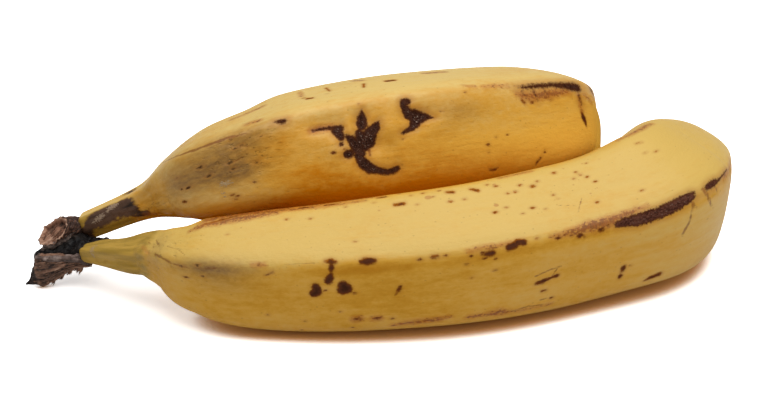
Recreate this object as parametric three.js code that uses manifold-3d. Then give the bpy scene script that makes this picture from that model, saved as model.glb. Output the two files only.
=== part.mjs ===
// Two ripe bananas, still joined at the crown that they were cut from the bunch with.
// They lie as they rest: the front fruit flat on its side, the rear fruit arched behind it with
// its belly near the front fruit and its blossom end on the table.
// Millimetres, +Z up. The table is the plane z = 0, with the origin under the middle of the pair.

import * as THREE from 'three';
import { mergeVertices } from 'three/addons/utils/BufferGeometryUtils.js';
import Module from 'manifold-3d';

const wasm = await Module();
wasm.setup();

// ---- driving dimensions ----

const GAP = 0.3; // between two pieces that touch

// The middle line of each fruit from the crown to the blossom end, as [x, y, z, mean radius].
const FRONT_LINE = [
  [-75, -21.5, 10.5, 2.6],
  [-63.5, -28, 12.5, 4.2],
  [-58.5, -30, 13.5, 5],
  [-52.5, -34, 14.5, 7.2],
  [-44.5, -37, 14, 11.4],
  [-28.5, -38, 13.5, 14.2],
  [12, -36.5, 15.8, 16.4],
  [47.5, -23, 16.6, 17.2],
  [65, -12.5, 18, 18.6],
  [72.5, 1, 17.4, 18],
  [78.5, 13, 17.5, 13.8],
  [84.5, 26.5, 18.5, 6.2],
];
const REAR_LINE = [
  [-77.5, -11, 12.3, 3],
  [-61, -12.5, 20, 4.4],
  [-52, -14.5, 25, 8.2],
  [-43, -17, 29, 11.8],
  [-32.5, -16, 31.5, 14],
  [-21, -12.5, 32, 17],
  [4, -1.5, 31, 18.4],
  [32, 17, 27, 17.4],
  [43.5, 27.5, 25, 14.4],
  [47.5, 36, 20.5, 11.2],
  [51.5, 43, 12.5, 9.4],
  [53.5, 47, 6.5, 7],
  [54.5, 49, 3.6, 5],
];

// Each fruit bends about one direction, and its first ridge stands at an angle about the line.
const FRONT_FRUIT = { line: FRONT_LINE, bendAxis: [0, 0, 1], firstRidge: 30 };
const REAR_FRUIT = { line: REAR_LINE, bendAxis: [-0.3, 0.65, 0.7], firstRidge: 17 };

const FACES = 5; // flat-ish faces round a fruit, with a ridge between each two
const RIDGE_SHARPNESS = 6; // higher is more angular
const RINGS = 46; // steps along a fruit
const SIDES = 35; // steps round it

// The dried flower scar on the end of each fruit.
const BLOSSOM_LENGTH = 2.6;
const BLOSSOM_SHARE = 0.72; // of the fruit's end radius

// ---- lofted solids ----

// A closed solid through rings of points, each with the same number of them. Looking from the first
// ring towards the last, the points of a ring run anticlockwise.
function loft(rings) {
  const sides = rings[0].length;
  const last = rings.length - 1;
  const positions = rings.flat();
  const faces = [];
  for (let i = 0; i < last; i++) {
    for (let j = 0; j < sides; j++) {
      const k = (j + 1) % sides;
      const [a, b, c, d] = [i * sides + j, i * sides + k, (i + 1) * sides + k, (i + 1) * sides + j];
      faces.push(a, c, b, a, d, c);
    }
  }
  for (const [i, turned] of [[0, false], [last, true]]) {
    const centre = positions.length;
    positions.push(middleOf(rings[i]));
    for (let j = 0; j < sides; j++) {
      const edge = [i * sides + j, i * sides + ((j + 1) % sides)];
      faces.push(...(turned ? edge.reverse() : edge), centre);
    }
  }
  const geometry = new THREE.BufferGeometry().setFromPoints(positions);
  return geometry.setIndex(faces);
}

function middleOf(points) {
  const sum = points.reduce((total, point) => total.add(point), new THREE.Vector3());
  return sum.divideScalar(points.length);
}

// The radius of a fruit's section, as a share of its mean: five faces, rounded where they meet.
function sectionShare(angle, firstRidge) {
  let sum = 0;
  for (let face = 0; face < FACES; face++) {
    const normal = firstRidge + ((face + 0.5) * 2 * Math.PI) / FACES;
    sum += Math.max(0, Math.cos(angle - normal)) ** RIDGE_SHARPNESS;
  }
  return sum ** (-1 / RIDGE_SHARPNESS);
}

function meanShare() {
  const steps = 360;
  let sum = 0;
  for (let i = 0; i < steps; i++) sum += sectionShare((i * 2 * Math.PI) / steps, 0);
  return sum / steps;
}

// The place, direction and radius of a fruit's line at t, from 0 at the crown to 1.
function lineAt({ line, bendAxis }, t) {
  const smooth = (points) => new THREE.CatmullRomCurve3(points, false, 'catmullrom', 0.5);
  const route = smooth(line.map(([x, y, z]) => new THREE.Vector3(x, y, z)));
  const girth = smooth(line.map((station) => new THREE.Vector3(station[3], 0, 0)));
  const along = route.getTangent(t);
  const side = along.clone().cross(new THREE.Vector3(...bendAxis)).normalize();
  const up = side.clone().cross(along);
  return { place: route.getPoint(t), along, side, up, radius: girth.getPoint(t).x };
}

// One ring round a fruit's line, grown by a margin. What would sink into the table lies flat on it.
function ringAt(fruit, t, margin = 0) {
  const { place, side, up, radius } = lineAt(fruit, t);
  const firstRidge = THREE.MathUtils.degToRad(fruit.firstRidge);
  const mean = meanShare();
  return Array.from({ length: SIDES }, (_, j) => {
    const angle = (j * 2 * Math.PI) / SIDES;
    const reach = (radius * sectionShare(angle, firstRidge)) / mean + margin;
    const point = place.clone();
    point.addScaledVector(side, reach * Math.cos(angle));
    point.addScaledVector(up, reach * Math.sin(angle));
    point.z = Math.max(point.z, 0);
    return point;
  });
}

function fruitGeometry(fruit) {
  return loft(Array.from({ length: RINGS + 1 }, (_, i) => ringAt(fruit, i / RINGS)));
}

// A round body through stations of [x, y, z, height, depth], its sections standing across its way.
function lobeGeometry(stations, sides = 16) {
  const places = stations.map(([x, y, z]) => new THREE.Vector3(x, y, z));
  const rings = stations.map(([, , , height, depth], i) => {
    const next = places[Math.min(i + 1, places.length - 1)];
    const along = next.clone().sub(places[Math.max(i - 1, 0)]).normalize();
    const side = along.clone().cross(new THREE.Vector3(0, 0, 1)).normalize();
    const up = side.clone().cross(along);
    return Array.from({ length: sides }, (_, j) => {
      const angle = (j * 2 * Math.PI) / sides;
      const point = places[i].clone();
      point.addScaledVector(side, depth * Math.cos(angle));
      return point.addScaledVector(up, height * Math.sin(angle));
    });
  });
  return loft(rings);
}

// ---- joining and cutting ----

function toSolid(geometry) {
  const plain = geometry.clone();
  plain.deleteAttribute('normal');
  plain.deleteAttribute('uv');
  const merged = mergeVertices(plain);
  const vertProperties = new Float32Array(merged.attributes.position.array);
  const triVerts = new Uint32Array(merged.index.array);
  return new wasm.Manifold(new wasm.Mesh({ numProp: 3, vertProperties, triVerts }));
}

function toGeometry(solid) {
  const mesh = solid.getMesh();
  const geometry = new THREE.BufferGeometry();
  geometry.setAttribute('position', new THREE.BufferAttribute(mesh.vertProperties, 3));
  return geometry.setIndex(new THREE.BufferAttribute(mesh.triVerts, 1));
}

// ---- the crown ----

// The stub of the bunch's stem: a short round piece with a torn face that looks left and forward.
function stubGeometry() {
  return lobeGeometry([
    [-74.8, -10.1, 12.9, 3.9, 3.9],
    [-78, -12.1, 12.7, 4.4, 4.2],
    [-81.4, -15.1, 13.2, 4.4, 4.3],
    [-84.6, -18.1, 13.9, 3.9, 3.9],
  ]);
}

// The black, shrunken tissue between the two stalks, thinning to a web in the fork.
function webGeometry() {
  return lobeGeometry([
    [-88, -18.1, 9.6, 1.6, 2.2],
    [-84, -18.1, 10.2, 2.8, 3.4],
    [-79, -17.5, 11, 3.4, 3.6],
    [-75.5, -17.1, 11.8, 1.9, 2.6],
    [-72, -17.5, 12.3, 0.6, 1.2],
  ]);
}

// The flap of stem skin torn off below the front stalk. Its lowest corner stands on the table.
function flapGeometry() {
  const thickness = 5;
  const bevel = 0.8;
  const outline = new THREE.Shape();
  outline.moveTo(-73.4, 8.4);
  outline.lineTo(-78.6, 7.6);
  outline.lineTo(-82.6, 3.4);
  outline.lineTo(-86, 0.8);
  outline.lineTo(-90, 0.8);
  outline.lineTo(-87.6, 6);
  outline.lineTo(-87.2, 9.6);
  outline.lineTo(-80, 11.6);
  outline.lineTo(-73.4, 12.2);
  const geometry = new THREE.ExtrudeGeometry(outline, {
    depth: thickness - 2 * bevel,
    bevelThickness: bevel,
    bevelSize: bevel,
    bevelSegments: 2,
    curveSegments: 1,
  });
  geometry.rotateX(Math.PI / 2); // the outline stands up in x and z
  return geometry.translate(0, -18.1 - bevel, 0);
}

// A stalk's first stretch, grown by the gap, which the crown is hollowed by.
function stalkRoom(fruit) {
  const steps = 6;
  const reach = 0.12;
  const rings = Array.from({ length: steps + 1 }, (_, i) => ringAt(fruit, (i * reach) / steps, GAP));
  const { along } = lineAt(fruit, 0);
  const mouth = rings[0].map((point) => point.clone().addScaledVector(along, -GAP));
  return toSolid(loft([mouth, ...rings.slice(1)]));
}

function crownGeometry() {
  let crown = toSolid(flapGeometry()).add(toSolid(webGeometry())).add(toSolid(stubGeometry()));
  for (const fruit of [FRONT_FRUIT, REAR_FRUIT]) crown = crown.subtract(stalkRoom(fruit));
  return toGeometry(crown);
}

// ---- the blossom ends ----

// A short, slightly waisted knob that stands on the fruit's end, a gap clear of it.
function blossomGeometry(fruit) {
  const { place, along, side, up, radius } = lineAt(fruit, 1);
  const profile = [[0, 1], [0.35, 0.8], [0.7, 0.86], [1, 0.6]];
  const sides = 18;
  return loft(profile.map(([out, share]) => Array.from({ length: sides }, (_, j) => {
    const angle = (j * 2 * Math.PI) / sides;
    const reach = radius * BLOSSOM_SHARE * share;
    const point = place.clone().addScaledVector(along, GAP + out * BLOSSOM_LENGTH);
    point.addScaledVector(side, reach * Math.cos(angle));
    point.addScaledVector(up, reach * Math.sin(angle));
    point.z = Math.max(point.z, 0);
    return point;
  })));
}

// ---- the pair ----

const peel = new THREE.MeshStandardMaterial({ color: '#e0b24a', roughness: 0.5, metalness: 0 });
const deepPeel = new THREE.MeshStandardMaterial({ color: '#d79f37', roughness: 0.5, metalness: 0 });
const driedStem = new THREE.MeshStandardMaterial({ color: '#4a352b', roughness: 0.9, metalness: 0 });
const driedFlower = new THREE.MeshStandardMaterial({ color: '#2c211b', roughness: 0.95, metalness: 0 });

function piece(name, geometry, material) {
  const mesh = new THREE.Mesh(geometry, material);
  mesh.name = name;
  return mesh;
}

const bananas = new THREE.Group();
bananas.add(piece('front_banana', fruitGeometry(FRONT_FRUIT), peel));
bananas.add(piece('rear_banana', fruitGeometry(REAR_FRUIT), deepPeel));
bananas.add(piece('crown', crownGeometry(), driedStem));
bananas.add(piece('front_blossom_end', blossomGeometry(FRONT_FRUIT), driedFlower));
bananas.add(piece('rear_blossom_end', blossomGeometry(REAR_FRUIT), driedFlower));

export default bananas;
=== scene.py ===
import math

import bpy
import numpy as np
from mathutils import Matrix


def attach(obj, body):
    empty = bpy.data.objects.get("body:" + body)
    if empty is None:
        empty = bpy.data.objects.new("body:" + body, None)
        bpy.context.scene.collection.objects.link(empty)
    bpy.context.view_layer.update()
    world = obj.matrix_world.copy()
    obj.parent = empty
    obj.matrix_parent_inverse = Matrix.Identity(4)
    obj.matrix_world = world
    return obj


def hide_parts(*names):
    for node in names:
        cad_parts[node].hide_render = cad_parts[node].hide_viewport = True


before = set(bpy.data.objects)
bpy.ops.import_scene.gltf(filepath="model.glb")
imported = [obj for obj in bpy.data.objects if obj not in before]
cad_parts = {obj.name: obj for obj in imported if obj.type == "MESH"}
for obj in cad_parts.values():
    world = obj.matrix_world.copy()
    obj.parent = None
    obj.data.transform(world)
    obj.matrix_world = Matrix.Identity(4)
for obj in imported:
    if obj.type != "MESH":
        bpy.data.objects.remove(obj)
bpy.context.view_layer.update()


# ---- The front banana ----
# A whole ripe fruit, peel and flesh in one, lying on its side. It grew as one piece with its stalk,
# with five soft ridges along it, and its peel has browned where the ridges were knocked and rubbed.

MM = 0.001
RINGS, SIDES = 440, 208  # rows of points along and round a fruit
FACES = 5
FACE_TURN = 360 / FACES  # degrees round that each face takes up
PEEL_CLEARANCE = 0.02  # how far the peel stays off the table where it lies on it, in millimetres

# The middle line from the crown to the blossom end, as x, y, z and mean radius in millimetres.
FRONT_LINE = [
    (-76.8, -20.5, 9.9, 1.7), (-75, -21.5, 10.5, 2.6), (-63.5, -28, 12.5, 4.2), (-58.5, -30, 13.5, 5),
    (-52.5, -34, 14.5, 7.2), (-44.5, -37, 14, 11.4), (-28.5, -38, 13.5, 14.2), (12, -36.5, 15.8, 16.4),
    (47.5, -23, 16.6, 17.2), (65, -12.5, 18, 18.6), (72.5, 1, 17.4, 18), (78.5, 13, 17.5, 13.8),
    (84.5, 26.5, 18.5, 6.2),
]
FRONT_ROOT = 2.2  # how much of the line is hidden in the crown
FRONT_BEND = (0, 0, 1)  # the direction that the fruit bends about
FRONT_RIDGE = 30  # degrees round to the first ridge

# Marks on the peel. Each is a course of places: millimetres along from the crown, degrees round
# from the near side, and half its width in millimetres. A lone spot is one place.
FRONT_BRUISES = [
    [(132.9, 28, 0.8), (135, 28, 1.2), (138, 27, 1.5), (141, 27, 1.5), (144.5, 27.5, 1.5),
     (147.5, 29, 1.4), (149.4, 30, 1.1)],
    [(152.9, 30, 0.8), (153.9, 30, 0.95), (155, 30, 0.7), (156.2, 29.5, 0.35), (163, 29, 0.12)],
]
FRONT_SPOTS = [
    [(69.5, 5, 1.55), (70.3, 6, 1.65), (69.7, 9, 1.55)],
    [(62.7, 2, 1.3), (63.6, 4, 1.35), (63.3, 9, 1.25)],
    [(74.2, 30, 0.8), (75.5, 30, 1.1), (76.9, 30, 0.8)], [(104.7, 28, 1), (106, 29, 1.1)],
    [(106.7, 31, 0.9), (108.2, 30, 1)], [(99.8, 26, 0.8), (101, 26, 0.9)],
    [(139.7, 327, 0.3), (141, 329, 0.8), (143, 330, 0.9)],
    [(66, 32, 0.55), (67.2, 32, 0.8), (68.4, 31, 0.5)], [(67.3, 28, 0.8), (67.3, 26, 0.9)],
    [(67.2, 22, 0.5), (66.8, 18, 1.1), (66.4, 15, 1.2)], (65.5, 5, 0.5), (72, 1, 0.6), (86.5, 28, 0.6),
    [(89, 29, 0.6), (90, 29, 0.6)], (91.5, 29, 0.5), (96.5, 26, 0.5), (99.3, 23, 0.6), (99, 27, 0.7),
    (101.7, 21, 0.5), (95.5, 20, 0.5), (101.5, 11, 0.5), (96.5, 7, 0.4), (111.5, 31, 0.5),
    (114.7, 30, 0.4), (116.6, 28, 0.7), (118.5, 29, 0.5), (120, 28, 0.5), (122.3, 26, 0.9),
    (123.5, 24, 0.4), [(128, 27, 0.8), (129, 27, 0.6)], (130.5, 29, 0.6),
    [(111.5, 350, 0.7), (113, 351, 0.85), (115, 353, 0.5), (116.6, 354, 0.75)],
    [(134.5, 347, 0.8), (134.2, 344, 0.7)], [(133.8, 339, 0.75), (133.6, 337, 0.55)], (136, 347, 0.4),
    [(113, 341, 0.5), (114, 341, 0.4)], (115.7, 332, 0.6), [(82.2, 5, 0.6), (81.8, 1, 0.6)],
    (80, 331, 0.5), (49.5, 32, 0.5), [(50.6, 22, 0.2), (51.8, 23, 0.35), (53.2, 25, 0.3)],
    (33.5, 12, 0.5), (32.5, 25, 0.4), (35.7, 29, 0.5), (37, 17, 0.4),
    [(71.6, 332, 0.5), (72.8, 333, 0.45)], [(76.3, 332, 0.5), (77.4, 332, 0.45)], (68.5, 341, 0.4),
    (71, 322, 0.4), (59, 318, 0.4), (60, 331, 0.4), (51, 337, 0.4),
    # Freckles over the top face, thickest towards the far side.
    [(184.5, 62, 0.6), (186.5, 60, 0.6)], (104.6, 62, 0.7), (107.6, 65, 0.5), (113.7, 59, 0.7),
    (110.7, 55, 0.4), (116.6, 55, 0.4), (120.4, 68, 0.5), (121, 63, 0.3), (130.3, 50, 0.6),
    (141.8, 48, 0.5), [(95.6, 93, 0.6), (97, 92, 0.7)], (94, 97, 0.5), (95.6, 82, 0.6), (99, 82, 0.5),
    [(101.5, 92, 0.6), (103, 89, 0.7)], (106, 94, 0.5), (116.6, 82, 0.8), (113.7, 86, 0.6),
    (107.8, 90, 0.6), (109.7, 80, 0.5), (111.7, 80, 0.6), (118.5, 86, 0.5), (124, 91, 0.7),
    (128, 80, 0.5), (129.6, 86, 0.5), (130.3, 82, 0.5), (131.7, 78, 0.6), (133, 71, 0.6),
    (134, 92, 0.4), [(148.6, 90, 0.3), (150, 89, 0.3)], (148.4, 79, 0.4), (150.6, 76, 0.5),
    (73, 49, 0.4), (56.5, 84, 0.5), (41, 71, 0.4), [(83, 87, 0.7), (85, 87, 0.7)], (88, 84, 0.4),
    [(79, 100, 0.5), (81, 100, 0.5)], [(66, 99, 0.6), (69, 99, 0.4)], (74, 98, 0.5), (71, 92, 0.4),
    (90, 97, 0.5), (87, 96, 0.4), (92, 90, 0.4), (78, 93, 0.4), (62, 97, 0.4),
    [(59.5, 99, 0.5), (61.5, 99, 0.6)], (62.4, 82, 0.5),
    # Where the far ridge was rubbed against the other fruit, dark along the line where they meet,
    # partly as painted shade of the crease.
    [(34, 88, 0.2), (38, 94, 0.55), (45, 100, 0.3)], [(50, 98, 0.2), (57, 101, 0.3)],
    # The back, which was rubbed too.
    (60, 150, 1), (92, 172, 0.8), [(118, 160, 0.9), (121, 161, 0.6)], (85, 214, 0.7), (130, 200, 0.8),
    (140, 175, 0.6), (105, 240, 0.8), (70, 255, 0.6),
]
FRONT_SCUFFS = [
    [(115, 30, 0.3), (120, 30, 0.9), (125, 31, 1.5), (130, 31, 1.5), (136, 34, 0.8), (141, 35, 0.4)],
    # Along the far ridge, rubbed on the other fruit, and darker where they meet as painted shade.
    [(33, 90, 0.5), (36, 98, 1.2), (41, 102, 1.5), (49, 99, 1.2), (57, 98, 0.9), (65, 97, 0.7),
     (76, 98, 0.4)], [(35, 100, 0.9), (45, 105, 1.3), (60, 104, 1), (80, 104, 0.6)],
    [(31.5, 82, 0.5), (35, 89, 1.1), (40, 92, 1.4), (47, 93, 1.2), (54, 95, 0.8)],
    [(48, 32, 0.3), (51, 32, 0.3)], [(21.5, 46, 0.1), (24, 30, 0.2)],
    [(71.5, 332, 0.9), (73, 333, 0.8)], [(76, 332, 0.8), (77.5, 332, 0.7)],
    [(80, 322, 0.5), (83, 324, 0.8), (86, 325, 1), (90, 326, 0.9), (92, 328, 0.6)],
    [(96, 325, 0.5), (100.5, 326, 0.8), (103, 326, 1.2), (105.5, 325, 0.7)],
    [(106, 324, 0.4), (116, 326, 0.3)],
    [(147, 103, 0.4), (153, 102, 0.9), (158, 100, 0.9), (161, 98, 0.5)],
    [(158, 28, 0.3), (165, 27, 0.3), (172, 29, 0.4)], [(96, 30, 0.4), (99, 31, 0.5), (105, 31, 0.4)],
    [(110, 101, 0.5), (119, 101, 0.6)], [(110, 174, 0.8), (122, 175, 1.3), (131, 174, 0.5)],
    [(65, 247, 0.6), (74, 246, 0.9), (80, 246, 0.4)],
]
FRONT_SCRATCHES = [
    [(115, 353, 0.3), (116.5, 2, 0.2)], [(82, 4, 0.4), (81, 356, 0.3)],
    [(151.8, 31, 0.4), (153.1, 15, 0.3)], [(149.3, 24, 0.3), (148.6, 12, 0.3), (147.2, 3, 0.4)],
    [(154, 31, 0.3), (154.8, 22, 0.2)], [(149, 30, 0.3), (150, 20, 0.3)],
    [(111, 358, 0.3), (115, 2, 0.3), (117.5, 3, 0.2)], [(112.7, 332, 0.3), (114.5, 333, 0.3)],
    [(106, 325, 0.3), (110, 328, 0.3), (114, 327, 0.2)],
    [(24, 70, 0.2), (25.5, 55, 0.2), (27, 40, 0.1), (28.5, 28, 0.1)],
    [(22.5, 60, 0.2), (24.5, 50, 0.1), (25, 36, 0.1)], [(28, 52, 0.2), (31, 47, 0.2), (33, 38, 0.1)],
    [(36, 26, 0.15), (38.5, 27, 0.2), (41, 29, 0.15)], [(43, 30, 0.1), (48, 30, 0.15), (53, 31, 0.1)],
    [(56, 31, 0.1), (60, 31, 0.15), (64.5, 31, 0.1)], [(26, 33, 0.3), (30, 27, 0.3), (34, 24, 0.2)],
    [(120, 56, 0.2), (124, 52, 0.2)], [(124, 45, 0.2), (127, 58, 0.2)],
    [(70, 170, 0.3), (73, 185, 0.3)], [(98, 205, 0.3), (103, 196, 0.3)],
    [(50, 190, 0.3), (54, 204, 0.3)],
]
FRONT_FLAKES = [[(4, 62, 0.7), (3.6, 40, 0.9), (4.2, 8, 0.8)]]


def smooth(a, b, c, d, t):
    """The point a share `t` of the way from b to c, on a smooth curve that runs through all four."""
    return 0.5 * (2 * b + (c - a) * t + (2 * a - 5 * b + 4 * c - d) * t**2
                  + (3 * b - a - 3 * c + d) * t**3)


def run_on(stations):
    """The stations, with one more in line before the first and one after the last."""
    return np.vstack([2 * stations[0] - stations[1], stations, 2 * stations[-1] - stations[-2]])


def lengths(line):
    """How far along a line each of its points is."""
    return np.r_[0, np.cumsum(np.linalg.norm(np.diff(line, axis=0), axis=1))]


def smooth_line(stations, steps=60):
    """A smooth curve through the stations, as rows of x, y, z and radius evenly spaced along it."""
    s = run_on(np.array(stations, float))
    t = np.linspace(0, 1, steps, endpoint=False)[:, None]
    rows = np.vstack([smooth(*four, t) for four in zip(s, s[1:], s[2:], s[3:])] + [s[-2:-1]])
    along = lengths(rows[:, :3])
    even = np.linspace(0, along[-1], RINGS)
    return even, np.stack([np.interp(even, along, column) for column in rows.T], 1)


def full_turn(count):
    """Even steps round a full turn."""
    return np.arange(count) * 2 * np.pi / count


def unit(vectors):
    """The vectors, each made 1 long."""
    return vectors / np.linalg.norm(vectors, axis=-1, keepdims=True)


def rings(middle, reach, turn, side, up):
    """Rings of points that stand `reach` away from the middle of a piece."""
    return (middle + (reach * np.cos(turn))[..., None] * side
            + (reach * np.sin(turn))[..., None] * up)


def straightened(across, up, along):
    """A piece as if it were straight and stood on end, so that patterns lie evenly on it."""
    return np.stack(np.broadcast_arrays(across, up, along), -1)


def section(angle, first_ridge, sharpness=7):
    """The radius of a fruit all round, as a share of its mean: flat faces, rounded together."""
    normals = first_ridge + (np.arange(FACES) + 0.5) * 2 * np.pi / FACES
    towards = np.maximum(0, np.cos(angle[:, None] - normals))
    share = (towards ** sharpness).sum(1) ** (-1 / sharpness)
    return share / share.mean()


def ease(value, low, high):
    """A smooth step from 0 at `low` to 1 at `high`."""
    t = np.clip((value - low) / (high - low), 0, 1)
    return t * t * (3 - 2 * t)


class Peel:
    """The points of a fruit's peel: how far along and round it each is, and where it stands."""

    def __init__(self, stations, bend_axis, first_ridge, root=0.0):
        self.along, rows = smooth_line(stations)
        self.along -= root
        self.place, self.radius = rows[:, :3], rows[:, 3]
        self.ahead = unit(np.gradient(self.place, axis=0))
        self.side = unit(np.cross(self.ahead, bend_axis))
        self.up = np.cross(self.side, self.ahead)
        self.angle = full_turn(SIDES)
        self.first_ridge = first_ridge
        self.share = section(self.angle, math.radians(first_ridge))
        radius = self.radius[:, None]
        self.straight = straightened(radius * np.cos(self.angle), radius * np.sin(self.angle),
                                     self.along[:, None])

    def points(self, raised):
        """Every point of the peel, raised along its own radius, and pressed flat by the table."""
        reach = self.radius[:, None] * self.share + raised
        points = rings(self.place[:, None], reach, self.angle, self.side[:, None], self.up[:, None])
        points[..., 2] = np.maximum(points[..., 2], PEEL_CLEARANCE)
        return points

    def away(self, along, around):
        """How far each point lies from a place on the peel, along and round it, in millimetres."""
        turn = self.angle - math.radians(around)
        turn = (turn + np.pi) % (2 * np.pi) - np.pi
        return np.broadcast_arrays(self.along[:, None] - along, self.radius[:, None] * turn)

    def streak(self, course):
        """How deep inside one mark each point lies, in millimetres."""
        inside = np.full((RINGS, SIDES), -9.0)  # well outside it
        long, wide = (1, 1) if course[1:] else (0.8, 1.3)  # a lone spot has grown with the fruit
        for (s0, a0, w0), (s1, a1, w1) in zip(course, course[1:] or course):
            x, y = self.away(s0, a0)
            x, y = x * long, y * wide
            turn = math.radians((a1 - a0 + 180) % 360 - 180)
            dx, dy = s1 - s0, np.interp((s0 + s1) / 2, self.along, self.radius) * turn
            length = dx * dx + dy * dy
            t = np.clip((x * dx + y * dy) / length, 0, 1) if length else 0 * x
            inside = np.maximum(inside, w0 + (w1 - w0) * t - np.hypot(x - t * dx, y - t * dy))
        return inside

    def marks(self, courses):
        """How deep inside the nearest of several marks each point lies, in millimetres."""
        return np.maximum.reduce([self.streak([course] if isinstance(course, tuple) else course)
                                  for course in courses])

    def cloud(self, along, around, length, width):
        """A soft patch that is 1 in its middle and fades out round it."""
        x, y = self.away(along, around)
        return np.exp(-((x / length) ** 2) - (y / width) ** 2)

    def patches(self, *clouds):
        """Several soft patches together, each as its strength, its place and its size."""
        return sum(strength * self.cloud(*cloud) for strength, *cloud in clouds)

    def band(self, around, width, shift=0.0):
        """A soft band all along the fruit that is 1 in its middle."""
        return np.exp(-((self.away(0, around)[1] + shift) / width) ** 2)

    def past(self, low, high):
        """0 up to `low` millimetres from the crown, and 1 past `high`."""
        return ease(self.along[:, None], low, high)

    def tip(self, starts, full=0.0):
        """0 as far as `starts` millimetres from the blossom end, and 1 from `full` millimetres on."""
        return self.past(self.along[-1] - starts, self.along[-1] - full)

    def face(self, number, soft=2.5):
        """1 on one of the faces, counted round from the first ridge, and 0 past its ridges."""
        across = self.away(0, self.first_ridge + FACE_TURN * (number + 0.5))[1]
        half = self.radius[:, None] * math.radians(FACE_TURN / 2)
        return ease(np.abs(across), half + soft, half - soft)


def rough(points, size, seed):
    """Smooth random values from -1 to 1 that change over about `size` millimetres."""
    cells = 40  # after which the values repeat
    grid = np.random.default_rng(seed).uniform(-1, 1, (cells, cells, cells))
    at = points / size + 25 * cells
    cell = np.floor(at).astype(int)
    t = at - cell
    t = t * t * (3 - 2 * t)
    total = 0
    for dx in (0, 1):
        for dy in (0, 1):
            for dz in (0, 1):
                weight = np.where((dx, dy, dz), t, 1 - t).prod(-1)
                corner = (cell + (dx, dy, dz)) % cells
                total = total + weight * grid[corner[..., 0], corner[..., 1], corner[..., 2]]
    return total


def placed(name, data):
    """A new object in the scene."""
    thing = bpy.data.objects.new(name, data)
    bpy.context.scene.collection.objects.link(thing)
    return thing


def smooth_piece(name, points, faces, fields, material):
    """A piece made of points in millimetres, with the value of each field at each point."""
    mesh = bpy.data.meshes.new(name)
    mesh.from_pydata((points * MM).tolist(), [], faces)
    mesh.shade_smooth()
    for field, values in fields.items():
        kind, key = ("FLOAT_VECTOR", "vector") if values.ndim == 2 else ("FLOAT", "value")
        mesh.attributes.new(field, kind, "POINT").data.foreach_set(key, values.ravel())
    mesh.materials.append(material)
    piece = placed(name, mesh)
    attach(piece, "root")
    return piece


def with_ends(rows):
    """The values of all rows in one list, followed by the mean of the first row and of the last."""
    return np.concatenate([np.concatenate(rows), rows[:1].mean(1), rows[-1:].mean(1)])


def skin(name, rows, fields, material):
    """A closed piece through rows of points: a ring for each row, and an end cap at either end."""
    count, sides = rows.shape[:2]
    j = np.arange(sides)
    k = (j + 1) % sides
    quads = [np.stack([i * sides + j, (i + 1) * sides + j, (i + 1) * sides + k, i * sides + k], 1)
             for i in range(count - 1)]
    first, last = count * sides, count * sides + 1
    caps = [np.stack([np.full(sides, first), j, k], 1),
            np.stack([np.full(sides, last), (count - 1) * sides + k, (count - 1) * sides + j], 1)]
    return smooth_piece(name, with_ends(rows), np.vstack(quads).tolist() + np.vstack(caps).tolist(),
                        {field: with_ends(values) for field, values in fields.items()}, material)


def unroll(piece, count, sides):
    """A flat map of the piece that is laid out like its rows, so that its finish can be baked."""
    mesh = piece.data
    corner = np.empty(len(mesh.loops), int)
    mesh.loops.foreach_get("vertex_index", corner)
    row, column = np.minimum(corner // sides, count - 1), corner % sides
    starts = np.empty(len(mesh.polygons), int)
    sizes = np.empty(len(mesh.polygons), int)
    mesh.polygons.foreach_get("loop_start", starts)
    mesh.polygons.foreach_get("loop_total", sizes)
    face = np.repeat(np.arange(len(starts)), sizes)
    # A face that crosses the seam has its far corners one full turn on.
    low = np.minimum.reduceat(column, starts)[face]
    high = np.maximum.reduceat(column, starts)[face]
    column = np.where((high - low > sides // 2) & (column < sides // 2), column + sides, column)
    # The middle of an end cap stands over the middle of each of its faces, in a strip of its own.
    middle = corner >= count * sides
    beside = (np.add.reduceat(np.where(middle, 0, column), starts) / 2)[face]
    column = np.where(middle, beside, column)
    strip = 8  # rows of the map that the strip takes up at either end
    row = np.where(corner == count * sides, -strip, np.where(middle, count + strip - 1, row))
    layer = mesh.uv_layers.new(name="OFBake")
    flat = np.stack([column / sides, (row + strip) / (count + 2 * strip - 1)], 1)
    layer.data.foreach_set("uv", (0.002 + 0.996 * flat).ravel())


def paint(code):
    """A colour as it looks, such as 'e6c46b', turned into the light values that a shader takes."""
    parts = [int(code[i:i + 2], 16) / 255 for i in (0, 2, 4)]
    return (*[p / 12.92 if p <= 0.04045 else ((p + 0.055) / 1.055) ** 2.4 for p in parts], 1)


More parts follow.
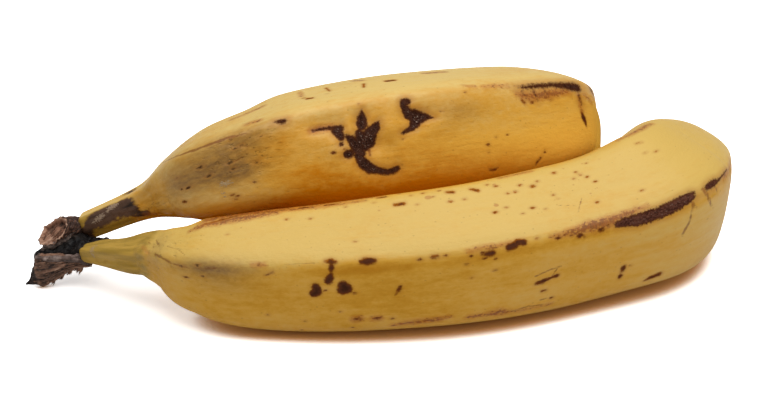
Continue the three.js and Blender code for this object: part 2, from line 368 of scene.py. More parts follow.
class Finish:
    """A surface finish that is put together from shader nodes."""

    def __init__(self, name, roughness, specular=0.5):
        self.material = bpy.data.materials.new(name)
        self.material.use_nodes = True
        self.nodes = self.material.node_tree.nodes
        self.links = self.material.node_tree.links
        self.shader = self.nodes["Principled BSDF"]
        self.shader.inputs["Roughness"].default_value = roughness
        self.shader.inputs["Specular IOR Level"].default_value = specular

    def feed(self, socket, value):
        """Give a socket what another node puts out, a number, or a colour by its code."""
        if isinstance(value, bpy.types.NodeSocket):
            self.links.new(value, socket)
        else:
            socket.default_value = paint(value) if isinstance(value, str) else value

    def add(self, kind, inputs, **settings):
        """A node of one kind, with its settings and with what goes into each of its sockets."""
        node = self.nodes.new("ShaderNode" + kind)
        for setting, value in settings.items():
            setattr(node, setting, value)
        for socket, value in inputs.items():
            self.feed(node.inputs[socket], value)
        return node

    def field(self, name, output="Fac"):
        return self.add("Attribute", {}, attribute_name=name).outputs[output]

    def maths(self, operation, *values):
        return self.add("Math", dict(enumerate(values)), operation=operation).outputs[0]

    def plus(self, a, b):
        return self.maths("ADD", a, b)

    def times(self, a, b, more=0.0):
        """a times b, and `more` on top."""
        return self.maths("MULTIPLY_ADD", a, b, more)

    def swing(self, noise, amount):
        """A noise from 0 to 1 made to swing by `amount` about 0."""
        return self.times(noise, amount, -amount / 2)

    def stretch(self, at, scale, shift=(0, 0, 0)):
        return self.add("Mapping", {"Vector": at, "Scale": scale, "Location": shift}).outputs[0]

    def turned(self, at, scale):
        """Places turned half across the fruit, and then stretched."""
        turn = self.add("Mapping", {"Vector": at, "Rotation": (0.7, 0.7, 0)}, vector_type="TEXTURE")
        return self.stretch(turn.outputs[0], scale)

    def noise(self, at, detail, roughness=0.55):
        return self.add("TexNoise", {"Vector": at, "Scale": 1, "Detail": detail,
                                     "Roughness": roughness}).outputs["Fac"]

    def dots(self, at):
        """Scattered dots: how far the nearest one is, and a random value of its own."""
        dot = self.add("TexVoronoi", {"Vector": at, "Scale": 1}).outputs
        return dot["Distance"], self.add("SeparateColor", {0: dot["Color"]}).outputs[0]

    def ramp(self, value, low, high, start=0.0, end=1.0):
        """A smooth step from `start` at `low` to `end` at `high`."""
        return self.add("MapRange", {"Value": value, "From Min": low, "From Max": high,
                                     "To Min": start, "To Max": end},
                        interpolation_type="SMOOTHSTEP").outputs["Result"]

    def blend(self, amount, a, b):
        """From colour a at 0 to colour b at 1."""
        return self.add("Mix", {0: amount, 6: a, 7: b}, data_type="RGBA").outputs[2]

    def bump(self, height, strength):
        """Fine relief, with its height in millimetres."""
        relief = self.add("Bump", {"Strength": strength, "Distance": MM, "Height": height})
        self.feed(self.shader.inputs["Normal"], relief.outputs[0])


class PeelFinish(Finish):
    """Ripe peel: yellow with fine lengthwise fibres, freckled, and brown where it was knocked."""

    def __init__(self, name, yellows, browns, hair, flecks):
        """Its bruises run between two browns, ragged at the edge by `hair` millimetres and cracked
        by `flecks`."""
        super().__init__(name, 0.44, 0.3)
        at = self.at = self.field("straight", "Vector")
        self.fibres = self.noise(self.stretch(at, (0.9, 0.9, 0.05)), 4)
        self.mottle = self.noise(self.stretch(at, (0.13, 0.13, 0.05)), 5, 0.62)
        self.blotch = self.noise(self.stretch(at, (0.5, 0.5, 0.3), (9, 9, 9)), 4, 0.6)
        self.grain = self.noise(self.stretch(at, (1.1, 1.1, 0.7)), 4, 0.68)
        self.hairs = self.noise(self.stretch(at, (0.7, 0.7, 3.0)), 4, 0.7)
        self.specks = self.noise(self.stretch(at, (1.5, 1.5, 1.0), (5, 2, 8)), 4, 0.72)
        self.fine = self.noise(self.stretch(at, (3.0, 3.0, 2.2)), 3, 0.7)
        colour = self.yellow_with_painted_light(*yellows)
        colour = self.stalk(colour)
        colour = self.dried(colour)
        colour = self.freckled(colour)
        colour = self.rubbed(colour)
        colour = self.spotted(colour)
        colour = self.bruised(colour, browns, hair, flecks)
        colour = self.flaking(colour)
        self.feed(self.shader.inputs["Base Color"], colour)
        self.sheen_and_relief()

    def yellow_with_painted_light(self, pale, gold, deep):
        """The yellow: pale on top faces, golden and deep on the others, as painted light and shade."""
        tone = self.plus(self.field("tone"), self.swing(self.mottle, 1.5))
        for pattern, amount in ((self.fibres, 0.5), (self.blotch, 0.9), (self.grain, 0.7)):
            tone = self.plus(tone, self.swing(pattern, amount))
        self.tone = tone
        colour = self.blend(self.ramp(tone, -0.1, 1.1), pale, gold)
        colour = self.blend(self.ramp(tone, 0.9, 2.1), colour, deep)
        # A painted glow: the warm field marks light thrown up from the front fruit onto the rear one.
        return self.blend(self.field("warm"), colour, "efb94a")

    def stalk(self, colour):
        """Olive where it hasn't ripened, and grey-brown and pitted where the neck was rubbed."""
        green = self.ramp(self.times(self.mottle, 0.6, self.field("green")), 0.55, 1.05)
        olive = self.blend(self.ramp(self.fibres, 0.3, 0.7), "8f7122", "b8923c")
        colour = self.blend(self.times(green, 0.85), colour, olive)
        self.grey = self.times(self.field("grey"), self.ramp(self.grain, 0.25, 0.7, 0.65, 1.0))
        colour = self.blend(self.grey, colour, "866336")
        pits = self.noise(self.stretch(self.at, (1.25, 1.25, 0.6), (2, 6, 4)), 2, 0.5)
        self.pit = self.times(self.ramp(pits, 0.60, 0.72), self.field("pitted"))
        return self.blend(self.times(self.pit, 0.4), colour, "7a5a30")

    def dried(self, colour):
        """Brown, stained skin where the stalk has begun to dry."""
        patchy = self.times(self.grain, 1.1, self.times(self.fibres, 0.9, self.field("stain")))
        here = self.ramp(self.field("stain"), 0.1, 0.5)
        halo = self.times(self.ramp(patchy, 1.2, 1.8, 0, 0.5), here)
        colour = self.blend(halo, colour, "7c4c1e")
        self.stained = self.times(self.ramp(patchy, 1.4, 1.85), here)
        brown = self.blend(self.ramp(self.fibres, 0.36, 0.6), "231812", "5c4334")
        brown = self.blend(self.ramp(self.grain, 0.45, 0.65, 0, 0.5), brown, "4a3220")
        return self.blend(self.stained, colour, brown)

    def freckled(self, colour):
        """Pores and freckles, each a scattered dot of its own size."""
        near, chance = self.dots(self.stretch(self.at, (0.75, 0.75, 0.6)))
        pore = self.ramp(self.times(chance, 0.16, self.times(near, -1)), -0.05, 0.04, 0, 0.3)
        colour = self.blend(pore, colour, "8f6226")
        near, chance = self.dots(self.stretch(self.at, (0.33, 0.33, 0.27), (3, 7, 1)))
        size = self.times(self.maths("POWER", chance, 2.0), self.times(self.field("freckle"), 0.2))
        freckle = self.ramp(self.maths("SUBTRACT", size, near), -0.06, 0.05, 0, 0.7)
        return self.blend(freckle, colour, "b57a36")

    def rubbed(self, colour):
        """A warm tint with brown specks in it where the peel was scuffed, and thin scratches."""
        scuff = self.field("scuff")
        tint = self.ramp(self.times(self.grain, 1.6, self.plus(scuff, -0.8)), -0.9, 0.6, 0, 0.6)
        colour = self.blend(tint, colour, "b0682a")
        worn = self.ramp(self.times(self.specks, 5.0, self.plus(scuff, -2.9)), -0.2, 0.5, 0, 0.72)
        brown = self.blend(self.ramp(self.hairs, 0.4, 0.6), "90461a", "62301a")
        colour = self.blend(worn, colour, brown)
        edge = self.plus(self.field("scratch"), self.swing(self.grain, 0.6))
        self.scratch = self.ramp(edge, -0.1, 0.25, 0, 0.75)
        return self.blend(self.scratch, colour, "7c4512")

    def spotted(self, colour):
        """Spots: brown freckles where they are small, nearly black where they are large."""
        inside = self.field("spot")
        depth = self.plus(inside, self.swing(self.specks, 1.0))
        colour = self.blend(self.ramp(inside, -0.7, 0.3, 0, 0.4), colour, "b0722c")
        small = self.blend(self.ramp(self.tone, 0.2, 1.0), "a05c12", "743f12")
        small = self.blend(self.ramp(self.grey, 0, 0.4), small, "523a1c")
        large = self.blend(self.grain, "391b0e", "6b3e28")
        middle = self.blend(self.grain, "1c0f09", "4a2c1e")
        large = self.blend(self.ramp(inside, 0.7, 1.4, 0, 0.7), large, middle)
        self.spot = self.ramp(depth, -0.1, 0.4)
        return self.blend(self.spot, colour, self.blend(self.ramp(depth, 0.25, 0.7), small, large))

    def bruised(self, colour, browns, hair, flecks):
        """Bruises: dark, with hairy edges, and with pale flecks where the skin has cracked."""
        depth = self.field("bruise")
        edge = self.plus(self.swing(self.hairs, hair), self.swing(self.specks, 0.2 + hair))
        inside = self.plus(depth, edge)
        # A warm rim round each bruise, partly browned peel and partly painted shade of the sunken peel.
        colour = self.blend(self.ramp(depth, -1.8, 0.2, 0, 0.45), colour, "a8672a")
        dark = self.blend(self.ramp(self.fine, 0.35, 0.7), *browns)
        dark = self.blend(self.ramp(self.blotch, 0.45, 0.6, 0, 0.4), dark, browns[1])
        crack = self.noise(self.turned(self.at, (2.6, 2.6, 1.1)), 3, 0.7)
        fleck = self.times(self.ramp(crack, 0.57, 0.70), self.ramp(depth, 0.4, 1.1, 0, flecks))
        dark = self.blend(fleck, dark, "a08a7a")
        dark = self.blend(self.ramp(inside, 0.0, 0.8), "522a12", dark)
        self.bruise = self.ramp(inside, -0.3, 0.3)
        return self.blend(self.bruise, colour, dark)

    def flaking(self, colour):
        """Pale dry flakes over the worst of it."""
        edge = self.times(self.fine, 3.6, self.plus(self.field("flake"), -2.2))
        self.flake = self.ramp(edge, -0.1, 0.3)
        crest = self.blend(self.stained, "c6a878", "b39d8a")
        return self.blend(self.flake, colour, self.blend(self.specks, "947a5e", crest))

    def sheen_and_relief(self):
        """A soft sheen on sound peel, duller where it is marked or deep yellow, and a fine grain."""
        marked = self.maths("MAXIMUM", self.bruise, self.maths("MAXIMUM", self.spot, self.flake))
        gloss = self.times(self.fibres, 0.14, 0.36)
        self.feed(self.shader.inputs["Roughness"], self.ramp(marked, 0, 1, gloss, 0.6))
        deep = self.maths("MAXIMUM", self.times(self.field("warm"), 2.0, self.tone),
                          self.times(marked, 1.4))
        self.feed(self.shader.inputs["Specular IOR Level"], self.ramp(deep, 0.7, 1.5, 0.3, 0.0))
        height = self.times(self.grain, 0.14)
        for pattern, amount in ((self.fibres, 0.12), (self.blotch, 0.2), (self.pit, -0.7),
                                (marked, -0.08), (self.times(marked, self.fine), 0.25),
                                (self.scratch, -0.06)):
            height = self.times(pattern, amount, height)
        self.bump(height, 0.8)


def fruit(name, node, peel, raised, finish, **fields):
    """One whole banana: its peel as a piece of its own, in place of the plain fruit."""
    piece = skin(name, peel.points(raised), {"straight": peel.straight, **fields}, finish.material)
    unroll(piece, RINGS, SIDES)
    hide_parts(node)


front = Peel(FRONT_LINE, FRONT_BEND, FRONT_RIDGE, FRONT_ROOT)
front_bruise = front.marks(FRONT_BRUISES)
front_spot = front.marks(FRONT_SPOTS)

# The top face is painted pale and the faces below it golden, as painted light and shade, least so
# towards the blossom end. The yellow deepens along the near ridge, and along the far one as painted
# shade of the crease where the other fruit lies on it.
front_tone = (
    0.85 - 0.8 * front.face(0) - 0.35 * front.face(1) + 0.15 * front.face(4)
    + 0.6 * front.band(25, 1.3, 0.2) * front.past(50, 70) - 0.5 * front.face(4) * front.past(118, 165)
    # The last two patches are painted shade along the far ridge, in the crease under the other fruit.
    + front.patches((0.25, 60, 350, 30, 9), (0.35, 80, 8, 14, 8), (-0.15, 163, 76, 14, 10),
                    (1.6, 50, 105, 18, 2.2), (1.0, 90, 108, 40, 2.5))
)
front_green = (1.15 - 1.1 * front.past(17, 28) + 0.8 * front.tip(9, 1)
               + 0.2 * front.cloud(180, 60, 6, 30))
front_grey = front.patches((0.35, 26, 38, 2.5, 5), (0.75, 37, 27, 6.5, 1.9), (0.4, 41, 19, 8, 4.5),
                           (0.3, 46, 28, 6, 1.6), (0.2, 120, 215, 20, 8))
front_stain = (1.1 * (1 - front.past(-1.8, -0.4)) + 1.2 * front.tip(2.2, 0.3)
               + 0.35 * front.cloud(8, 350, 8, 1.2) * front.past(1, 5))
front_raised = (
    0.25 * rough(front.straight, 22, 1) + 0.10 * rough(front.straight * (1, 1, 0.25), 5, 2)
    - 0.16 * ease(front_bruise, -0.8, 0.4) - 0.08 * ease(front_spot, -0.5, 0.3)
    # Full towards the blossom end, with long shallow dents low on the near side, and hollow
    # under the neck.
    + front.patches((0.6, 162, 0, 18, 14), (0.9, 181, 58, 10, 9), (-0.7, 141, 312, 12, 5),
                    (-0.4, 87, 316, 14, 5), (0.2, 50, 318, 14, 6), (-1.6, 39, 270, 8, 6))
    # The ridge stands up a little, and the neck is pinched in where the stalk begins.
    + 0.20 * front.band(FRONT_RIDGE, 1.3)
    + front.patches((0.6, 19, 88, 6, 4), (-0.8, -0.5, 95, 4, 3.2), (-0.45, 24, 35, 1.3, 7),
                    (0.35, 27, 40, 1.6, 8))
    - 0.22 * front.cloud(28, 30, 5, 7) * np.abs(rough(front.straight * (0.9, 0.9, 0.5), 1.1, 9))
    # Both ends round over into what grows on them.
    - 1.1 * (1 - front.past(-FRONT_ROOT, 0)) ** 2 - 1.5 * front.tip(2.5) ** 2
    # Fibres standing out along the stalk.
    + 0.22 * (1 - front.past(18, 30)) * rough(front.straight * (1.2, 1.2, 0.12), 1.5, 3)
)
fruit("front_fruit", "front_banana", front, front_raised,
      PeelFinish("ripe_peel", ("d7b25b", "d49f3a", "ba7f22"), ("3a1d15", "6e4536"), 1.2, 0.4),
      tone=front_tone, green=front_green, grey=front_grey, stain=front_stain,
      bruise=front_bruise, spot=front_spot, scuff=front.marks(FRONT_SCUFFS),
      scratch=front.marks(FRONT_SCRATCHES), flake=front.marks(FRONT_FLAKES),
      freckle=front.patches((1.3, 105, 84, 28, 7), (0.8, 140, 75, 16, 10), (0.8, 75, 96, 18, 5),
                            (0.5, 90, 170, 40, 12)),
      pitted=front.patches((0.3, 28, 35, 5, 6), (0.2, 22, 20, 3, 4)),
      # This fruit has no painted glow thrown on it.
      warm=np.zeros((RINGS, SIDES)))  # only the rear fruit is that warm


# ---- The rear banana ----
# The second fruit of the pair, a little shorter. It arches up from the crown behind the first and
# comes down to the table on its blossom end. A deep scar has dried brown and corky on its near face.

REAR_LINE = [
    (-77.5, -11, 12.3, 3), (-61, -12.5, 20, 4.4), (-52, -14.5, 25, 8.2), (-43, -17, 29, 11.8),
    (-32.5, -16, 31.5, 14), (-21, -12.5, 32, 17), (4, -1.5, 31, 18.4), (32, 17, 27, 17.4),
    (43.5, 27.5, 25, 14.4), (47.5, 36, 20.5, 11.2), (51.5, 43, 12.5, 9.4), (53.5, 47, 6.5, 7),
    (54.5, 49, 3.6, 5),
]
REAR_BEND = (-0.3, 0.65, 0.7)
REAR_RIDGE = 17

# The deep scar: a leaf, two arms, the hook under them, and the fin and the wing at its sides.
REAR_SCAR = [
    [(74.2, 13, 0.2), (73.9, 7, 1.2), (73.6, 2, 1.4), (73.4, 359, 1)],
    [(77.4, 1, 0.4), (76.4, 357, 1.3), (75, 353, 1.7), (74.4, 346, 1.9), (73.6, 342, 1.2)],
    [(69.2, 354, 0.5), (70.2, 350, 1.2), (71, 345, 1.5), (71.5, 339, 1.2)],
    [(72.5, 354, 1.2), (73, 348, 1.7)],
    [(71.4, 336, 1.1), (72.2, 329, 1.5), (73.6, 324, 1.4), (75.6, 321, 0.95), (77.9, 319, 0.8),
     (79.2, 319.5, 0.85), (80.2, 321, 0.7)], [(84.3, 13, 0.9), (85.3, 13, 0.8)],
    [(84.1, 12, 0.9), (84.2, 9, 0.9), (85.2, 4, 1.4), (87, 2, 1.5), (88.7, 0, 1.1), (90.5, 358, 0.2)],
    [(86.2, 3, 1.3), (86.3, 357, 1.4), (85.2, 352.5, 0.9), (82.6, 349, 0.4)], (87.2, 358, 1.3),
    [(72, 350, 1), (72.3, 343, 1), (72.6, 336, 0.8)],
    [(61, 3, 0.25), (63, 3.5, 0.4), (66.2, 3, 0.6), (68, 1, 1.1)],
    [(67, 359.5, 1.3), (67.6, 356, 1.3), (67.8, 352.5, 0.9)], [(68.7, 338, 1.15), (69.3, 338, 1.15)],
    [(67.4, 347, 0.55), (67.6, 347, 0.55)],
]
REAR_BRUISES = [
    [(54.6, 17.5, 0.4), (55.6, 15.5, 0.7)],
    # On the far face.
    [(95, 190, 1.2), (99, 193, 1.6), (104, 192, 0.8)], [(60, 230, 1.4), (63, 226, 1.1)],
    [(120, 222, 0.6), (126, 222, 1.1), (131, 223, 0.5)],
]
# Bruises whose edges fade out.
REAR_SMUDGES = [
    [(116, 15, 0.2), (118.5, 14, 0.6), (121, 14, 0.9), (125, 14, 0.9), (129, 14, 0.9), (132, 13, 1.1),
     (135, 12, 1.4), (137, 11, 1.4)], [(141.4, 17, 0.4), (142.2, 12, 0.7), (142.9, 9, 0.4)],
    [(136.8, 3, 0.6), (136.9, 354, 0.4)], [(118, 10, 0.5), (119, 5, 0.2)],
    [(122, 9, 0.6), (122.5, 3, 0.3)], [(126, 9, 0.5), (127, 5, 0.2)],
]
REAR_SPOTS = [
    (65.2, 341, 0.7), (68, 343, 0.4), [(74.3, 339, 0.5), (74.2, 334, 0.3)], (73.7, 17, 0.3),
    [(63.5, 42, 0.8), (64.5, 41, 0.7)], (62.9, 47, 0.6), [(85.2, 50, 0.9), (87.2, 50, 0.9)],
    [(70.5, 62, 0.5), (70.2, 50, 0.4)], (68.8, 44, 0.3), [(79.4, 52, 0.55), (78.2, 43, 0.45)],
    (104.1, 330, 0.7), (106.9, 335, 0.4), (110.6, 336, 0.4), (104, 324, 0.4), (122, 317, 0.5),
    [(104, 311, 0.4), (105.4, 310, 0.55), (106.8, 311, 0.3)], [(119.2, 309, 0.45), (120.6, 313, 0.4)],
    [(136.4, 346, 0.5), (136.8, 340, 1), (137.2, 336, 0.8), (137.6, 330, 0.3)], (36.6, 339, 0.6),
    (35.2, 340, 0.4), (34.9, 356, 0.4), (40.5, 345, 0.6), (39.5, 358, 0.6), (44.8, 352, 0.6),
    (45.1, 345, 0.5), (49.6, 345, 0.5), (48.4, 325, 0.5), (43.7, 317, 0.5), (44.6, 315, 0.5),
    (44, 312, 0.4), (46.2, 5, 0.4), (47.6, 6, 0.5), (45.9, 15, 0.4), (51.7, 9, 0.3), (34.9, 322, 0.6),
    (82.4, 344, 0.4), (100.4, 14, 0.4), (92.5, 2, 0.4), [(117.2, 4, 0.6), (118, 1, 0.5)],
    (120.4, 1, 0.7), (125.6, 4, 0.6), (127, 1, 0.4),
    # On the far face.
    (58, 128, 0.6), (66, 140, 0.4), [(77, 122, 0.5), (78.5, 121, 0.4)], (94, 134, 0.7), (101, 120, 0.4),
    (116, 131, 0.5), [(123, 118, 0.7), (125, 118, 0.5)], (134, 128, 0.4), (86, 152, 0.5),
    (80, 172, 0.8), (110, 182, 0.7), (72, 190, 0.9), [(88, 240, 0.8), (90, 241, 0.6)], (48, 204, 0.7),
    (112, 160, 0.6), (128, 190, 0.8),
]
REAR_SCUFFS = [
    [(116, 9, 0.7), (120, 6, 1.1), (126, 6, 1.2), (131, 7, 1), (134, 6, 0.5)],
    [(61, 3, 0.7), (63, 4, 0.8), (66, 3, 0.9)], [(136.6, 3, 0.6), (136.4, 352, 0.5), (136.5, 345, 0.5)],
    [(139, 4, 0.5), (140.5, 358, 0.4)], [(64, 66, 0.5), (63, 53, 0.5)],
    [(79, 68, 0.9), (80.5, 64, 0.7)], [(98, 62, 0.8), (104, 60, 0.9)], [(47, 62, 0.5), (54, 62, 0.6)],
    [(49.5, 30, 0.5), (52, 27, 0.6)], [(106, 17, 0.3), (110, 17, 0.5), (114, 16, 0.5)],
    [(101, 20, 0.3), (104, 18, 0.4)], [(19, 300, 0.6), (22, 300, 0.5)],
    [(76, 175, 1), (86, 177, 1.4), (93, 176, 0.5)], [(100, 236, 0.7), (112, 238, 1), (118, 236, 0.4)],
]
REAR_SCRATCHES = [
    [(27, 68, 0.1), (30, 36, 0.2), (33, 27, 0.3), (36, 22, 0.3), (39, 18, 0.4), (42, 17, 0.4),
     (46, 17, 0.4), (49, 15, 0.2)], [(34, 64, 0.1), (39, 58, 0.1)], [(42, 50, 0.1), (50, 36, 0.1)],
    [(20, 56, 0.1), (23, 66, 0.1)], [(44, 8, 0.1), (46, 5, 0.1)], [(48, 3, 0.2), (51, 6, 0.1)],
    [(46, 358, 0.2), (49, 2, 0.1)], [(45.5, 352, 0.2), (48.5, 357, 0.1)],
    [(45, 356, 0.1), (46, 350, 0.1)], [(52, 356, 0.1), (56, 0, 0.1)], [(54, 345, 0.1), (57, 346, 0.1)],
    [(50, 338, 0.1), (55, 340, 0.1)], [(87, 5, 0.1), (91, 8, 0.1)], [(24, 318, 0.1), (29, 326, 0.1)],
    [(22, 310, 0.1), (27, 312, 0.1), (31, 316, 0)],
]
REAR_FLAKES = [
    [(4.6, 343, 0.7), (6.4, 349, 1), (7.9, 357, 0.8)], [(9.2, 4, 0.7), (11, 11, 1), (12.8, 13, 0.6)],
    [(42.5, 331, 0.9), (43.5, 331, 0.9)], [(42, 322, 0.6), (42.5, 319, 0.6)],
]

rear = Peel(REAR_LINE, REAR_BEND, REAR_RIDGE)
rear_scar = rear.marks(REAR_SCAR)
rear_bruise = np.maximum(rear_scar, rear.marks(REAR_BRUISES))
rear_bruise = np.maximum(rear_bruise, 0.6 * rear.marks(REAR_SMUDGES) - 0.15)
rear_spot = rear.marks(REAR_SPOTS)

# The top face is painted pale and the near one deepens downwards towards the front fruit, as painted
# light and shade.
turn = (np.degrees(rear.angle)[None] + 180) % 360 - 180
rear_tone = (
    1.05 - 1.0 * rear.face(0, 5) - 0.5 * rear.face(1) + 0.75 * rear.face(3, 4)
    + 0.8 * ease(-turn, 14, 62) * ease(180 - np.abs(turn), 60, 90) * rear.past(36, 66)
    + rear.patches((0.35, 40, 48, 20, 9), (-0.8, 47, 308, 10, 5.5), (0.45, 54, 330, 10, 9),
                   (-0.3, 33, 335, 8, 7), (-0.35, 118, 352, 26, 6), (-0.3, 62, 352, 10, 6),
                   # Painted light, where light is thrown up from the front fruit onto the low side by
                   # the blossom end.
                   (-0.45, 139, 312, 13, 9))
)
rear_green = ((1.0 - 1.1 * rear.past(8, 24)) * ease(np.abs(turn - 60), 15, 55)
              + 0.25 * rear.cloud(27, 350, 6, 4) + 0.8 * rear.tip(2.5, 0.5))
# Dark stains lie along the near side of the stalk, and both ends have dried brown.
rear_stain = (
    rear.patches((0.95, 5, 344, 4.2, 1.6), (0.95, 10, 2, 5, 1.7), (0.9, 15.2, 354, 2.6, 1.9),
                 (1.15, 18.6, 308, 2.4, 1.0), (0.5, 15.5, 330, 2.5, 1.0), (-0.9, 0.5, 8, 2.0, 1.7),
                 (0.45, 9, 325, 9, 1.5), (0.8, 16, 60, 3, 0.8))
    + 1.2 * rear.tip(1.8, 0.3) + 1.1 * (1 - rear.past(1.5, 4.0)) * ease(-turn, 10, 50)
)
# The neck is finely wrinkled, and the peel has sunk round the scar.
wrinkle = rough(rear.straight * (0.9, 0.9, 0.55) + (0, 0, 3), 1.3, 7)
rear_raised = (
    0.30 * rough(rear.straight, 20, 4) + 0.12 * rough(rear.straight * (1, 1, 0.25), 5, 5)
    - 0.22 * ease(rear_bruise, -0.8, 0.5) - 0.35 * ease(rear_scar, -3.0, 0.6)
    - 0.10 * ease(rear_spot, -0.5, 0.3)
    + 0.30 * rear.band(REAR_RIDGE, 1.4)
    - 0.55 * rear.patches((1, 48, 355, 9, 7), (0.5, 30, 318, 8, 4)) * np.abs(wrinkle)
    + rear.patches((0.4, 112, 58, 32, 7), (0.45, 37, 57, 10, 8))
    # Dents beside the scar, with the peel standing up between them.
    + rear.patches((-0.9, 73, 6, 5, 3), (-0.8, 76, 342, 4, 3), (-0.9, 86, 2, 5, 2.2),
                   (0.8, 80, 354, 2.5, 4), (0.7, 66.5, 343, 3.2, 3), (-0.9, 64, 8, 7, 2.5),
                   (0.6, 70, 6, 1.6, 2.5), (0.4, 92, 352, 4, 3))
    + 0.25 * ease(rear_scar, 0.2, 1.4) * np.maximum(rough(rear.straight, 0.9, 6), -0.2)
    # Both ends round over into what grows on them.
    - 0.9 * (1 - rear.past(0, 2)) ** 2 - 1.3 * rear.tip(2) ** 2
    # Fibres standing out along the stalk.
    + 0.25 * (1 - rear.past(20, 34)) * rough(rear.straight * (1.2, 1.2, 0.12), 1.6, 8)
)
fruit("rear_fruit", "rear_banana", rear, rear_raised,
      PeelFinish("deep_peel", ("dfbe70", "d69d3b", "bd6e00"), ("220f0a", "503226"), 0.6, 0.75),
      tone=rear_tone, green=rear_green, stain=rear_stain, bruise=rear_bruise, spot=rear_spot,
      scuff=rear.marks(REAR_SCUFFS), scratch=rear.marks(REAR_SCRATCHES),
      flake=rear.marks(REAR_FLAKES),
      grey=rear.patches((0.7, 42, 1, 9, 5), (0.6, 42, 341, 7, 3.5), (0.5, 47, 339, 4, 3),
                        (0.4, 34, 349, 4, 3), (0.5, 49, 12, 6, 3), (0.45, 97, 0, 8, 3),
                        (0.3, 70, 182, 18, 7)),
      freckle=rear.patches((0.7, 112, 330, 22, 9), (0.6, 75, 50, 22, 5), (0.4, 90, 180, 30, 9)),
      pitted=rear.patches((0.7, 47, 355, 6, 5), (0.5, 24, 325, 4, 4)),
      # warm is a painted glow, where light is thrown up from the front fruit onto this one.
      warm=rear.patches((0.75, 130, 328, 18, 9), (0.35, 105, 335, 18, 8), (0.5, 141, 312, 9, 9),
                        (0.7, 153, 318, 7, 12)))


# ---- The torn stub of the crown ----
# The crown is the dried end of the bunch's stem, which both stalks grow from, woody and fibrous.
# One side of it ends in this round stub, which broke off: its face is hollow, with a tongue of
# fibres standing in it.

CROWN_ROWS, CROWN_SIDES = 150, 160
FACE_ROWS = 89  # rows of points from the stub's rim in to the middle of its face
RIM_ROWS = 16  # rows over which the rim turns ragged
FACE_HALF_WIDTH, FACE_HALF_HEIGHT = 3.2, 4.7  # of the torn face, in millimetres

# Each station holds a middle and two half widths, as x, y, z in millimetres.
STUB = [  # from inside the collar of the rear stalk out to the torn face
    ((-78.6, -11.4, 12.4), (1.2, 0.3, 2.3), (-1.0, 2.6, 0.4)),
    ((-80.2, -12.8, 12.7), (2.0, 0.8, 2.6), (-1.2, 2.8, 0.4)),
    ((-82.2, -14.9, 13.3), (2.8, 1.2, 2.8), (-1.4, 2.9, 0.3)),
    ((-84.0, -17.4, 14.1), (3.3, 1.4, 2.9), (-1.9, 2.6, 0.6)),
]


def loft(stations, rows=CROWN_ROWS, sides=CROWN_SIDES, thin=0.0):
    """Rows of points round a line of stations, and the same rows unrolled, in millimetres. The side
    away from the first half width is drawn thinner by the share `thin`."""
    s = run_on(np.array(stations, float).reshape(len(stations), 9))
    t = np.linspace(0, len(stations) - 1 - 1e-9, rows)
    i = t.astype(int)
    line = smooth(s[i], s[i + 1], s[i + 2], s[i + 3], (t - i)[:, None])
    middle, first, second = line[:, :3], line[:, 3:6], line[:, 6:]
    ahead = middle[-1] - middle[0]
    if np.cross(first[rows // 2], second[rows // 2]) @ ahead > 0:
        second = -second
    turn = full_turn(sides)
    draw = np.sin(turn) * (1 - thin * (1 - np.cos(turn)) / 2)
    points = (middle[:, None] + np.cos(turn)[:, None] * first[:, None]
              + draw[:, None] * second[:, None])
    unrolled = straightened(np.cos(turn) * np.linalg.norm(first, axis=1)[:, None],
                            draw * np.linalg.norm(second, axis=1)[:, None],
                            lengths(middle)[:, None])
    return points, unrolled


def swollen(points, height):
    """The points moved outwards by a height of their own, in millimetres."""
    out = np.cross(np.roll(points, -1, 1) - np.roll(points, 1, 1), np.gradient(points, axis=0))
    out *= np.sign((out * (points - points.mean(1, keepdims=True))).sum())
    out /= np.linalg.norm(out, axis=2, keepdims=True) + 1e-9
    return points + out * height[..., None]


def husk_finish(name, dark, brown, pale, roughness, fibre=(1.6, 1.6, 0.16), dusty=0.35,
                shine=0.35):
    """Dried stem: brown on its fibres, dark in its grooves as painted shade, and pale along their
    crests, partly worn and partly a painted highlight.
    """
    f = Finish(name, roughness, shine)
    at = f.field("straight", "Vector")
    fibres = f.noise(f.stretch(at, fibre), 5, 0.65)
    stains = f.noise(f.stretch(at, (0.35, 0.35, 0.3), (4, 4, 4)), 4, 0.6)
    dust = f.noise(f.stretch(at, (2.4, 2.4, 2.0)), 4, 0.7)
    # By height: darker in the grooves as painted shade, paler on the crests as a painted highlight.
    crest = f.times(fibres, 1.4, f.plus(f.field("crest"), -0.7))
    colour = f.blend(f.ramp(crest, -0.35, 0.25), dark, brown)
    colour = f.blend(f.ramp(crest, 0.15, 0.75, 0, 0.85), colour, pale)
    colour = f.blend(f.ramp(stains, 0.5, 0.68, 0, 0.45), colour, dark)
    colour = f.blend(f.ramp(dust, 0.54, 0.70, 0, dusty), colour, "a8968c")
    f.feed(f.shader.inputs["Base Color"], colour)
    f.bump(f.times(fibres, 0.35, f.times(dust, 0.12)), 0.9)
    return f.material


def crown_piece(name, points, fields, material):
    """One piece of the crown, which stands in for a share of the plain solid."""
    piece = skin(name, points, fields, material)
    unroll(piece, *points.shape[:2])
    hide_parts("crown")


trunk, trunk_map = loft(STUB)
folds = np.sin(trunk_map[..., 2] * 4.5 + 2.5 * rough(trunk_map, 2, 13))
folds = 0.10 * folds * ease(trunk_map[..., 2], 0.5, 2)
folds = folds + 0.30 * rough(trunk_map, 0.9, 14) + 0.14 * rough(trunk_map, 0.35, 15)
notches = rough(trunk_map[-1] * (1.3, 1.3, 0) + 3, 0.7, 16)
folds[-RIM_ROWS:] += 0.35 * notches * np.linspace(0, 1, RIM_ROWS)[:, None]

